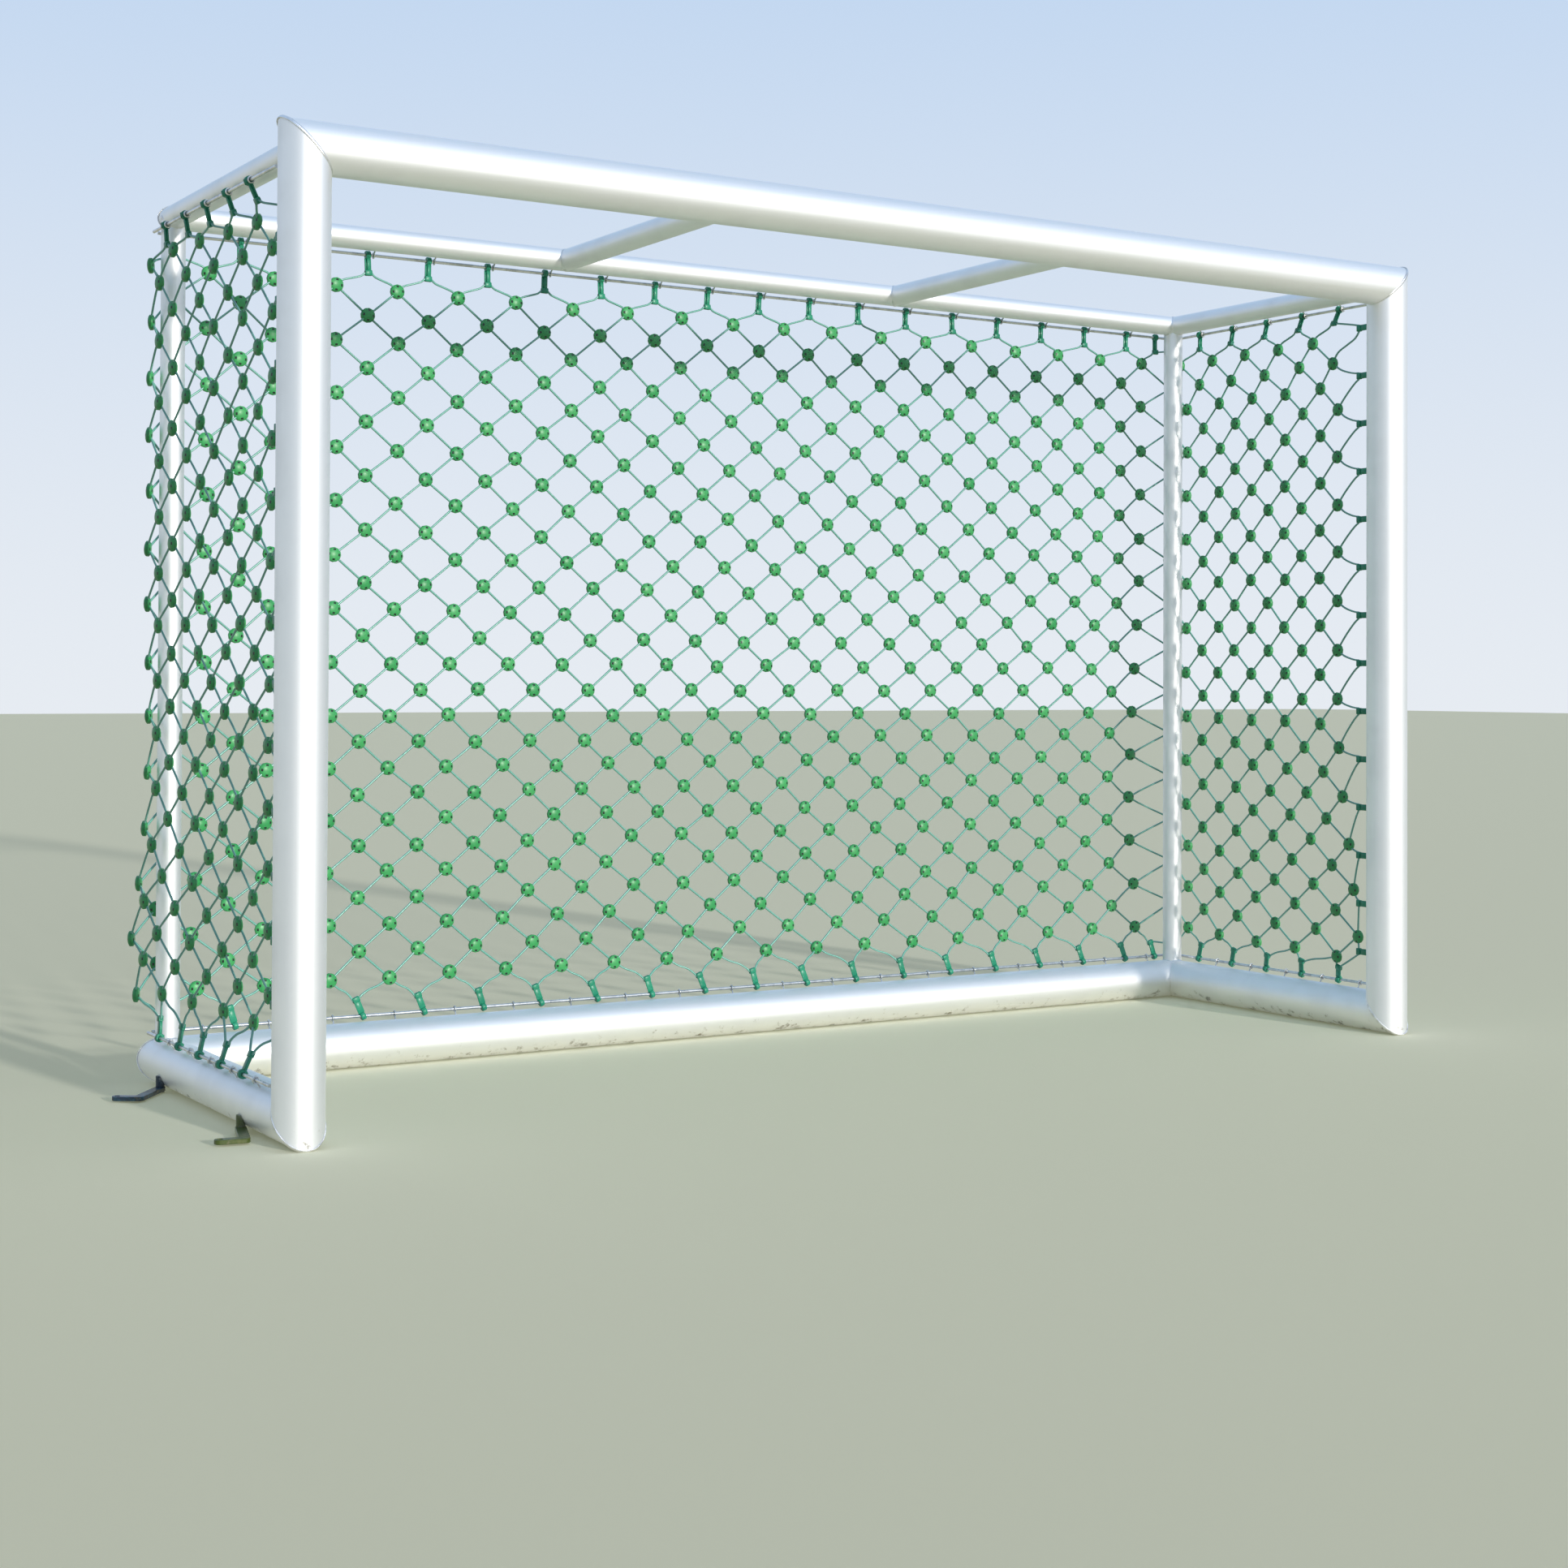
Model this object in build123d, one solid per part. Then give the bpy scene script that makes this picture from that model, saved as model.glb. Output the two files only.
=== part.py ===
from build123d import *
from math import cos, radians, sin, sqrt, tan
import os

# Soccer goal: a welded tube frame that stands on its own ground frame, steel net rods held by
# eyelets, a net of crossed cords with moulded connectors, net hooks, and four ground anchors.
# +X runs along the crossbar, +Y from the mouth to the rear, +Z up. Millimetres.
# The origin is on the ground, under the middle of the frame.

# Clear opening, and depth over the tubes
opening_width = 3000.0
opening_height = 2000.0
frame_depth = 1000.0

# Tubes
main_diameter = 110.0
main_wall = 4.0
thin_diameter = 57.0
thin_wall = 3.0
brace_spacing = 1 / 3  # distance between the roof braces, as a share of the post spacing
weld_gap = 0.2  # between a coped end and the tube it is welded to

# Net rods, and the wire eyelets that hold them off the tubes
rod_diameter = 8.0
top_rod_gap = 4.5  # rod axis below the thin top bars
ground_rod_gap = 9.0  # rod axis above the ground tubes
post_rod_out = 12.0  # outboard of the posts' axes
post_rod_gap = 18.0  # rod axis behind the posts
rod_end_gap = 12.0  # a rod stops this short of the line of its neighbour
rod_start = 7.0  # a side rod starts this far behind the posts
post_rod_inset = 30.0  # a post rod stops this far inside the side rods
eyelet_wire = 4.0
eyelet_clearance = 0.5
top_eyelet_shift = 15.0  # along the rod from the hook beside it
ground_eyelet_shift = 84.0
post_eyelet_shift = 40.0

# Net
cord_diameter = 4.5
mesh_width = 163.0  # wanted width of a mesh in the rear panel
side_mesh_width = 146.0
mesh_height = 134.0
connector_diameter = 35.0
connector_thickness = 17.0
connector_rim = 7.5
net_clearance = 1.5  # between the connectors and the rear uprights
first_row_drop = 68.0  # top row of connectors below the top rods
last_row_rise = 91.0  # bottom row of connectors above the ground rods
cord_seat = 6.5  # a cord's end stops this short of its connector's middle
cord_gap = 0.1  # between crossing cords

# Net hooks
hook_length = 45.0  # rod axis to the cord's hole
hook_slide = 30.0  # the hooks have slid this far round the frame, past their meshes
hook_ring = 21.0
hook_ring_width = 12.0
hook_width = 17.0
hook_thickness = 4.0
hook_foot = 14.0
hook_foot_thickness = 8.5
hook_clearance = 0.3
upright_gap = 5.0  # between the last rear hook and the right rear upright
hook_hole_clearance = 0.5
hook_lead = 8.0  # straight cord beyond a hook's foot, before it bends
corner_lead = 2.0  # the same, where the edge cord turns a rear corner

# Ground anchors: a flat arm with a toe, turning on a stud under each ground side tube
anchor_front_set = 210.0  # front stud behind the posts
anchor_rear_set = 110.0  # rear stud in front of the rear ground tube
stud_inset = 5.0  # stud axis inside the ground tube's outer edge
arm_width = 24.0
arm_thickness = 10.0
arm_leg = 125.0
arm_toe = 50.0
arm_bend = 85.0
arm_bottom = 3.0
front_arm_angle = 105.0  # leg's direction at rest, clockwise from +X on the left side
rear_arm_angle = 128.0
peg_hole = 13.0
stud_diameter = 12.0
stud_head = 20.0
stud_clearance = 0.05  # running fit of the arm on its stud
stud_play = 0.3  # end play of the arm
stud_bottom = 0.5
boss_embed = 6.0

# Places that follow from the sizes above
main_radius = main_diameter / 2
thin_radius = thin_diameter / 2
rod_radius = rod_diameter / 2
cord_radius = cord_diameter / 2
post_x = opening_width / 2 + main_radius
front_y = main_radius - frame_depth / 2
rear_y = frame_depth / 2 - main_radius
ground_z = main_radius
top_z = opening_height + main_radius
brace_x = post_x * brace_spacing
net_out = thin_radius + connector_thickness / 2 + net_clearance
top_rod_z = top_z - thin_radius - top_rod_gap
ground_rod_z = ground_z + main_radius + ground_rod_gap
post_rod_y = front_y + main_radius + post_rod_gap
stud_out = main_radius - stud_inset
UP = Vector(0, 0, 1)
RIGHT = Vector(1, 0, 0)
BACK = Vector(0, 1, 0)


def cylinder(start, end, radius):
    return Solid.make_cylinder(radius, (end - start).length, Plane(start, z_dir=end - start))


def bar(start, end, radius, bore=0, start_turn=None, end_turn=None):
    """A round bar. A turn is the way that the next bar leaves that corner, for the mitre."""
    way = (end - start).normalized()
    low = start - way * 2 * radius if start_turn else start
    high = end + way * 2 * radius if end_turn else end
    shape = cylinder(low, high, radius)
    if bore:
        shape -= cylinder(low, high, bore)
    if start_turn:
        shape = split(shape, Plane(start, z_dir=way - start_turn), keep=Keep.TOP)
    if end_turn:
        shape = split(shape, Plane(end, z_dir=-way - end_turn), keep=Keep.TOP)
    return shape


class Tube:
    """A welded tube: its solid, and the outline that other tubes are coped to."""

    def __init__(self, start, end, diameter, wall, start_turn=None, end_turn=None, copes=()):
        radius = diameter / 2
        turns = {"start_turn": start_turn, "end_turn": end_turn}
        self.outline = bar(start, end, radius + weld_gap, **turns)
        self.solid = bar(start, end, radius, radius - wall, **turns)
        for other in copes:
            self.solid -= other.outline


# Frame tubes
nodes = {}
crossbar = Tube(
    Vector(-post_x, front_y, top_z),
    Vector(post_x, front_y, top_z),
    main_diameter,
    main_wall,
    start_turn=-UP,
    end_turn=-UP,
)
rear_ground = Tube(
    Vector(-post_x, rear_y, ground_z),
    Vector(post_x, rear_y, ground_z),
    main_diameter,
    main_wall,
    start_turn=-BACK,
    end_turn=-BACK,
)
rear_top = Tube(
    Vector(-post_x, rear_y, top_z),
    Vector(post_x, rear_y, top_z),
    thin_diameter,
    thin_wall,
    start_turn=-BACK,
    end_turn=-BACK,
)
nodes["crossbar"] = crossbar.solid
nodes["rear_ground_tube"] = rear_ground.solid
nodes["rear_top_bar"] = rear_top.solid

for side, sign in (("left", -1), ("right", 1)):
    x = sign * post_x
    inward = RIGHT * -sign
    ground_front = Vector(x, front_y, ground_z)
    ground_rear = Vector(x, rear_y, ground_z)
    top_front = Vector(x, front_y, top_z)
    top_rear = Vector(x, rear_y, top_z)
    post = Tube(ground_front, top_front, main_diameter, main_wall, BACK, inward)
    ground = Tube(ground_front, ground_rear, main_diameter, main_wall, UP, inward)
    top = Tube(top_rear, top_front, thin_diameter, thin_wall, inward, None, (crossbar, post))
    upright_copes = (ground, rear_ground, top, rear_top)
    upright = Tube(ground_rear, top_rear, thin_diameter, thin_wall, copes=upright_copes)
    brace_start = Vector(sign * brace_x, rear_y, top_z)
    brace_end = Vector(sign * brace_x, front_y, top_z)
    brace = Tube(brace_start, brace_end, thin_diameter, thin_wall, copes=(rear_top, crossbar))
    nodes[side + "_post"] = post.solid
    nodes[side + "_ground_tube"] = ground.solid
    nodes[side + "_top_bar"] = top.solid
    nodes[side + "_rear_upright"] = upright.solid
    nodes[side + "_roof_brace"] = brace.solid


class Panel:
    """One flat panel of the net: a lattice of half meshes, counted from a rear corner."""

    def __init__(self, corner, way, run, columns, parity):
        self.corner = corner
        self.way = way
        self.out = Vector(-way.Y, way.X, 0)
        self.columns = columns
        self.step = run / columns
        self.parity = parity

    def point(self, column, row):
        return self.corner + self.way * (column * self.step) + UP * (first_row_z - row * row_step)

    def has_connector(self, column, row):
        return (column + row + self.parity) % 2 == 0


# Net lattice: rows and columns are half meshes, and connectors stand on every other crossing
first_row_z = top_rod_z - first_row_drop
last_row_z = ground_rod_z + last_row_rise
rows = 2 * round((first_row_z - last_row_z) / mesh_height)
row_step = (first_row_z - last_row_z) / rows
corner_x = post_x + net_out
corner_y = rear_y + net_out
rear_run = 2 * corner_x
rear_columns = 2 * int(rear_run / mesh_width) + 1
rear = Panel(Vector(-corner_x, corner_y, 0), RIGHT, rear_run, rear_columns, 0)
side_line = Vector(post_x + post_rod_out - corner_x, post_rod_y - corner_y, 0)
side_run = side_line.length - hook_length
side_columns = 2 * int(side_run / side_mesh_width) + 1
right_way = side_line.normalized()
left_way = Vector(-right_way.X, right_way.Y, 0)
left = Panel(Vector(-corner_x, corner_y, 0), left_way, side_run, side_columns, 0)
right_corner = Vector(corner_x, corner_y, 0)
right = Panel(right_corner, right_way, side_run, side_columns, rear_columns % 2)
edge = side_columns - 1  # last column of connectors in a side panel


def trimmed(start, end, short):
    """The point on the way from start to end that is short of start by that much."""
    return start + (end - start).normalized() * short


def net_cord(panel, first, last, shift):
    """A straight cord from one connector to another, beside the cords that cross it."""
    aside = panel.out * shift
    start = panel.point(*first)
    end = panel.point(*last)
    seat_a = trimmed(start, end, cord_seat) + aside
    seat_b = trimmed(end, start, cord_seat) + aside
    return cylinder(seat_a, seat_b, cord_radius)


def diagonal_cords(panel, last_column):
    """The falling and the rising cords of a panel, each whole from edge to edge."""
    falling = []
    rising = []
    shift = (cord_diameter + cord_gap) / 2
    for count in range(-rows, last_column + rows + 1):
        if (count + panel.parity) % 2:
            continue
        top, bottom = max(0, -count), min(rows, last_column - count)
        if bottom > top:
            ends = (count + top, top), (count + bottom, bottom)
            falling.append(net_cord(panel, *ends, shift))
        top, bottom = max(0, count - last_column), min(rows, count)
        if bottom > top:
            ends = (count - top, top), (count - bottom, bottom)
            rising.append(net_cord(panel, *ends, -shift))
    return falling, rising


def bent_cord(points):
    """A cord along straight runs, each corner rounded as far as its runs and hooks allow."""
    radii = []
    for before, corner, after in zip(points, points[1:], points[2:]):
        turn = radians((corner - before).get_angle(after - corner))
        run = min((corner - before).length, (after - corner).length)
        radii.append(min(0.45 * run, hook_lead) / tan(turn / 2))
    path = FilletPolyline(*points, radius=radii)
    section = Plane(points[0], z_dir=points[1] - points[0]) * Circle(cord_radius)
    return sweep(section, path=path).solid()


def loop_cord(start, holes, end):
    """An edge cord from connector start through hook holes (middle, way) to connector end."""
    through = []
    half = hook_width / 2 + hook_lead
    for middle, way in holes:
        through += [middle - way * half, middle + way * half]
    inner = [trimmed(start, through[0], cord_seat), *through, trimmed(end, through[-1], cord_seat)]
    return bent_cord(inner)


# Connectors: round buttons with domed faces, moulded over each crossing
dome_rise = (connector_thickness - connector_rim) / 2
dome_radius = ((connector_diameter / 2) ** 2 + dome_rise**2) / (2 * dome_rise)
button = Cylinder(connector_diameter / 2, connector_thickness)
for face in (-1, 1):
    button &= Pos(0, 0, face * (connector_thickness / 2 - dome_radius)) * Sphere(dome_radius)
button = button.solid()


def connector(place, out):
    return Plane(place, x_dir=UP, z_dir=out).location * button


def panel_connectors(panel, columns):
    made = []
    for column in columns:
        out = panel.out
        for row in range(rows + 1):
            if panel.has_connector(column, row):
                made.append(connector(panel.point(column, row), out))
    return made


rear_buttons = panel_connectors(rear, range(1, rear_columns))
for column, sign in ((0, -1), (rear_columns, 1)):
    for row in range(rows + 1):
        if rear.has_connector(column, row):
            rear_buttons.append(connector(rear.point(column, row), Vector(sign, 1, 0)))
nodes["rear_net_connectors"] = rear_buttons
nodes["left_net_connectors"] = panel_connectors(left, range(1, side_columns))
nodes["right_net_connectors"] = panel_connectors(right, range(1, side_columns))
for name, panel, last_column in (
    ("rear", rear, rear_columns),
    ("left", left, edge),
    ("right", right, edge),
):
    falling, rising = diagonal_cords(panel, last_column)
    nodes[name + "_net_falling_cords"] = falling
    nodes[name + "_net_rising_cords"] = rising

# Net hook: a ring round the rod, a flat shank, and a foot with a hole for the edge cord.
# Its own X runs along the rod, and it hangs down its own Z.
foot_turn = Rot(0, 90, 0)
hook = foot_turn * Cylinder(hook_ring / 2, hook_ring_width)
ring_bore = rod_radius + hook_clearance
shank_top = (ring_bore + hook_ring / 2) / 2
hook += Pos(0, 0, -(shank_top + hook_length) / 2) * Box(
    hook_width, hook_thickness, hook_length - shank_top
)
foot = Pos(0, 0, -hook_length) * Box(hook_width, hook_foot_thickness, hook_foot)
hook += fillet(foot.edges().filter_by(Axis.X), hook_foot_thickness / 4)
hook -= foot_turn * Cylinder(ring_bore, 2 * hook_width)
hole = foot_turn * Cylinder(cord_radius + hook_hole_clearance, 2 * hook_width)
hook -= Pos(0, 0, -hook_length) * hole
hook = hook.solid()

# Wire eyelet: a ring round the rod on a stem that is welded to the tube, up its own Z
ring_radius = rod_radius + eyelet_clearance + eyelet_wire / 2
ring = Solid.make_torus(ring_radius, eyelet_wire / 2, Plane(Vector(0, 0, 0), z_dir=RIGHT))


def eyelets(places, along, tube_way, tube_gap):
    """Eyelets at places on a rod; tube_way points to the tube, tube_gap is axis to surface."""
    stem = cylinder(UP * ring_radius, UP * (tube_gap - weld_gap), eyelet_wire / 2)
    shape = (ring + stem).solid()
    return [Plane(p, x_dir=along, z_dir=tube_way).location * shape for p in places]


def hooks(seats):
    """Hooks on a rod: each seat is its place on the rod, the rod's way, and the cord's hole."""
    made = []
    for place, along, middle in seats:
        made.append(Plane(place, x_dir=along, z_dir=place - middle).location * hook)
    return made


def hang(place, target):
    """The hole of a hook that hangs from place towards target."""
    return trimmed(place, target, hook_length)


# Level rods: at the top and on the ground, one behind and one at each side
rod_limit_x = corner_x - rod_end_gap
rod_limit_y = corner_y - rod_end_gap
last_hook_x = post_x - thin_radius - upright_gap - hook_ring_width / 2
loops = {"rear": [], "left": [], "right": []}
levels = (
    ("top", top_rod_z, -1, 0, top_z, thin_radius, top_eyelet_shift),
    ("ground", ground_rod_z, 1, rows, ground_z, main_radius, ground_eyelet_shift),
)
for level, rod_z, down, row, tube_z, tube_radius, shift in levels:
    rear_start = Vector(-rod_limit_x, corner_y, rod_z)
    rear_end = Vector(rod_limit_x, corner_y, rod_z)
    nodes[f"rear_{level}_rod"] = cylinder(rear_start, rear_end, rod_radius)
    seats = []
    for column in range(1, rear_columns + 1, 2):
        x = min(rear.point(column, 0).X - hook_slide, last_hook_x)
        place = Vector(x, corner_y, rod_z)
        middle = place + UP * (down * hook_length)
        seats.append((place, RIGHT, middle))
        start = rear.point(column - 1, row)
        if column < rear_columns:
            loops["rear"].append(loop_cord(start, [(middle, RIGHT)], rear.point(column + 1, row)))
        else:
            bend = Vector(corner_x + cord_diameter, corner_y, middle.Z - down * cord_diameter)
            before = middle - RIGHT * (hook_width / 2 + hook_lead)
            after = middle + RIGHT * (hook_width / 2 + corner_lead)
            first = trimmed(start, before, cord_seat)
            last = trimmed(right.point(1, row), bend, cord_seat)
            loops["rear"].append(bent_cord([first, before, after, bend, last]))
    nodes[f"rear_{level}_hooks"] = hooks(seats)
    reach = Vector(0, -net_out, tube_z - rod_z)
    shifted = [place + RIGHT * shift for place, _, _ in seats[:-1]]
    gap = reach.length - tube_radius
    nodes[f"rear_{level}_eyelets"] = eyelets(shifted, RIGHT, reach, gap)

    for side, panel, sign in (("left", left, -1), ("right", right, 1)):
        x = sign * corner_x
        side_start = Vector(x, front_y + main_radius + rod_start, rod_z)
        side_end = Vector(x, rod_limit_y, rod_z)
        nodes[f"{side}_{level}_rod"] = cylinder(side_start, side_end, rod_radius)
        seats = []
        for column in range(2 - (1 - panel.parity), side_columns, 2):
            flat = panel.point(column, row) - panel.way * (sign * hook_slide)
            place = Vector(x, flat.Y, rod_z)
            middle = hang(place, Vector(flat.X, flat.Y, rod_z + down * hook_length))
            seats.append((place, BACK, middle))
            start = panel.point(column - 1, row)
            holes = [(middle, -BACK)]
            end = panel.point(column + 1, row)
            if column == edge:
                holes.append((panel.point(side_columns, row), UP * down))
                end = panel.point(edge, row + down * -1)
            loops[side].append(loop_cord(start, holes, end))
        nodes[f"{side}_{level}_hooks"] = hooks(seats)
        reach = Vector(-sign * net_out, 0, tube_z - rod_z)
        shifted = [place - BACK * shift for place, _, _ in seats]
        gap = reach.length - tube_radius
        nodes[f"{side}_{level}_eyelets"] = eyelets(shifted, BACK, reach, gap)

# Upright rods behind the posts
for side, panel, sign in (("left", left, -1), ("right", right, 1)):
    foot_point = Vector(sign * (post_x + post_rod_out), post_rod_y, 0)
    low = foot_point + UP * (ground_rod_z + post_rod_inset)
    high = foot_point + UP * (top_rod_z - post_rod_inset)
    nodes[f"{side}_post_rod"] = cylinder(low, high, rod_radius)
    seats = []
    for row in range(rows + 1):
        if panel.has_connector(side_columns, row):
            middle = panel.point(side_columns, row)
            place = foot_point + UP * middle.Z
            seats.append((place, UP, middle))
            if 0 < row < rows:
                ends = panel.point(edge, row - 1), panel.point(edge, row + 1)
                loops[side].append(loop_cord(ends[0], [(middle, -UP)], ends[1]))
    nodes[f"{side}_post_hooks"] = hooks(seats)
    reach = Vector(-sign * post_rod_out, front_y - post_rod_y, 0)
    shifted = [place - UP * post_eyelet_shift for place, _, _ in seats[:-1]]
    nodes[f"{side}_post_eyelets"] = eyelets(shifted, UP, reach, reach.length - main_radius)
for name, cords in loops.items():
    nodes[name + "_net_edge_loops"] = cords

# Ground anchors: pivot at the arm's own origin, leg along its X, toe turned clockwise
bend_turn = radians(-arm_bend)
elbow = Vector(arm_leg, 0)
toe_end = elbow + Vector(cos(bend_turn), sin(bend_turn)) * arm_toe
leg_flat = Pos(arm_leg / 2, 0) * SlotCenterToCenter(arm_leg, arm_width)
toe_middle = (elbow + toe_end) / 2
toe_flat = Pos(toe_middle.X, toe_middle.Y) * Rot(0, 0, -arm_bend)
toe_flat *= SlotCenterToCenter(arm_toe, arm_width)
arm_flat = leg_flat + toe_flat
arm_flat -= Circle(stud_diameter / 2 + stud_clearance)
arm_flat -= Pos(toe_end.X, toe_end.Y) * Circle(peg_hole / 2)
left_arm = Pos(0, 0, arm_bottom) * extrude(arm_flat, arm_thickness)
left_arm = chamfer(left_arm.edges().filter_by(GeomType.CIRCLE, reverse=True), 1.0).solid()
right_arm = mirror(left_arm, Plane.YZ).solid()

# Anchor stud: a head under the arm, a pin, and a boss that is welded under the tube
arm_top = arm_bottom + arm_thickness
surface_z = ground_z - sqrt(main_radius**2 - stud_out**2)
stud = Pos(0, 0, stud_bottom) * extrude(
    Circle(stud_head / 2), arm_bottom - stud_play - stud_bottom
)
stud += Pos(0, 0, stud_bottom) * extrude(Circle(stud_diameter / 2), arm_top)
stud += Pos(0, 0, arm_top + stud_play) * extrude(
    Circle(stud_head / 2), surface_z + boss_embed - arm_top - stud_play
)
studs = []
for side, sign, arm in (("left", -1, left_arm), ("right", 1, right_arm)):
    stud_x = sign * (post_x + stud_out)
    tube_x = sign * post_x
    tube_ends = Vector(tube_x, front_y, ground_z), Vector(tube_x, rear_y, ground_z)
    ground_outline = bar(*tube_ends, main_radius + weld_gap)
    for end, stud_y, angle in (
        ("front", front_y + anchor_front_set, front_arm_angle),
        ("rear", rear_y - anchor_rear_set, rear_arm_angle),
    ):
        pivot = Pos(stud_x, stud_y, 0)
        studs.append((pivot * stud - ground_outline).solid())
        nodes[f"{side}_{end}_anchor"] = pivot * Rot(0, 0, sign * angle) * arm
nodes["anchor_studs"] = studs

os.makedirs("parts", exist_ok=True)
for name, shape in nodes.items():
    solids = shape if isinstance(shape, list) else shape.solids()
    export_step(Compound(solids) if len(solids) > 1 else solids[0], f"parts/{name}.step")
    print(name, len(solids))
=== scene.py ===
import math
import random

import bmesh
import bpy
from mathutils import Matrix, Vector


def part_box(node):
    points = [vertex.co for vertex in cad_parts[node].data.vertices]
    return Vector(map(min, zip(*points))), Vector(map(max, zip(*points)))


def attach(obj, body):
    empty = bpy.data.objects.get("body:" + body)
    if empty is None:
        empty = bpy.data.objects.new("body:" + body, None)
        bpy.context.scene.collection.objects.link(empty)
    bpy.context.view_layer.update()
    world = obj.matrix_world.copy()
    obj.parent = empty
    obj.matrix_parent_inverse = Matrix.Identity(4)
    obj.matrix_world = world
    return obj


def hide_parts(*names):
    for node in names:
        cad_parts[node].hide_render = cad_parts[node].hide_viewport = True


# Soccer goal: a welded frame of round aluminium tube, steel net rods, a green net of crossed
# cords with moulded buttons, net hooks, and ground anchors. Metres; +Y from mouth to rear.
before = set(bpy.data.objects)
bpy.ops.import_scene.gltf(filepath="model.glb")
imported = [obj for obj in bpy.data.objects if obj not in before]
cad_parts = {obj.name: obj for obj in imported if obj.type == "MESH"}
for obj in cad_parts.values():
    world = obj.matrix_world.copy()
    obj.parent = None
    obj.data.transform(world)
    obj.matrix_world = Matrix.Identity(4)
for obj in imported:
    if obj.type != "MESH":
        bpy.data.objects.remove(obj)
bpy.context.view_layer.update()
UP = Vector((0, 0, 1))
RIGHT = Vector((1, 0, 0))
BACK = Vector((0, 1, 0))


# Camera: it stands in front and to the left of the mouth, at about half the goal's height, and
# is shifted down, so that the uprights stay upright.
camera_turn = math.radians(32.04)
camera_tilt = math.radians(0.783)
camera_roll = math.radians(0.228)
camera_data = bpy.data.cameras.new("camera")
camera_data.sensor_width = 36.0
camera_data.lens = 54.16
camera_data.shift_x = -0.01314
camera_data.shift_y = -0.08596
camera = bpy.data.objects.new("camera", camera_data)
camera.matrix_world = (
    Matrix.Translation((-3.2492, -5.0997, 0.9577))
    @ Matrix.Rotation(-camera_turn, 4, "Z")
    @ Matrix.Rotation(math.radians(90) + camera_tilt, 4, "X")
    @ Matrix.Rotation(camera_roll, 4, "Z")
)
bpy.context.scene.collection.objects.link(camera)
bpy.context.scene.camera = camera


# Frame tubes: extruded aluminium, left bare, with a satin skin that is drawn out along each
# tube. The ones near the ground have mud splashes and scuffs.
tube_colour = (0.90, 0.90, 0.895, 1.0)
tube_dull_colour = (0.80, 0.795, 0.785, 1.0)
tube_metal = 0.93  # the rest is a thin dull oxide
tube_roughness = 0.47
tube_mud_height = 0.09
mud_colour = (0.30, 0.27, 0.16, 1.0)
drawn = 260  # streaks in a metre across the tube
drawn_along = 1.5  # and along it


def put(tree, kind, inputs=None, **settings):
    """Adds a node, and fills its inputs with plain values or with other nodes' outputs."""
    node = tree.nodes.new(kind)
    for name, value in settings.items():
        setattr(node, name, value)
    for key, value in (inputs or {}).items():
        socket = node.inputs[key]
        if isinstance(value, bpy.types.NodeSocket):
            tree.links.new(value, socket)
        else:
            socket.default_value = value
    return node


def math_of(tree, operation, *values, clamp=False):
    """The result of a Math node on values or outputs."""
    node = put(tree, "ShaderNodeMath", dict(enumerate(values)), operation=operation)
    node.use_clamp = clamp
    return node.outputs[0]


def ramp_of(tree, value, low, high, to_low=0.0, to_high=1.0):
    """A value that goes smoothly from to_low to to_high as the input goes from low to high."""
    limits = {"Value": value, "From Min": low, "From Max": high}
    limits["To Min"] = to_low
    limits["To Max"] = to_high
    node = put(tree, "ShaderNodeMapRange", limits, interpolation_type="SMOOTHSTEP")
    return node.outputs[0]


def blend_of(tree, factor, first, second):
    """One colour over another, by a mask."""
    node = put(tree, "ShaderNodeMix", data_type="RGBA")
    for socket, value in ((0, factor), (6, first), (7, second)):
        if isinstance(value, bpy.types.NodeSocket):
            tree.links.new(value, node.inputs[socket])
        else:
            node.inputs[socket].default_value = value
    return node.outputs[2]


def new_group(name, inputs, outputs):
    """An empty shader group with named inputs (name, kind, value) and outputs (name, kind)."""
    group = bpy.data.node_groups.new(name, "ShaderNodeTree")
    for label, kind, value in inputs:
        socket = group.interface.new_socket(label, in_out="INPUT", socket_type=kind)
        if value is not None:
            socket.default_value = value
    for label, kind in outputs:
        group.interface.new_socket(label, in_out="OUTPUT", socket_type=kind)
    return group, group.nodes.new("NodeGroupInput").outputs, group.nodes.new("NodeGroupOutput")


# Drawn skin: long fine streaks along the Stretch direction, and slow dull patches.
skin, given, result = new_group(
    "drawn_skin",
    (
        ("Vector", "NodeSocketVector", None),
        ("Stretch", "NodeSocketVector", (1.0, 1.0, 1.0)),
        ("Patch Size", "NodeSocketFloat", 0.2),
    ),
    (("Streak", "NodeSocketFloat"), ("Patch", "NodeSocketFloat")),
)
pulled = put(
    skin,
    "ShaderNodeVectorMath",
    {0: given["Vector"], 1: given["Stretch"]},
    operation="MULTIPLY",
)
streak = put(
    skin,
    "ShaderNodeTexNoise",
    {"Vector": pulled.outputs[0], "Scale": 1.0, "Detail": 4.0, "Roughness": 0.6},
)
patch_scale = math_of(skin, "DIVIDE", 1.0, given["Patch Size"])
patch = put(
    skin,
    "ShaderNodeTexNoise",
    {"Vector": given["Vector"], "Scale": patch_scale, "Detail": 3.0, "Roughness": 0.55},
)
skin.links.new(streak.outputs[0], result.inputs["Streak"])
skin.links.new(ramp_of(skin, patch.outputs[0], 0.42, 0.68), result.inputs["Patch"])

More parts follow.
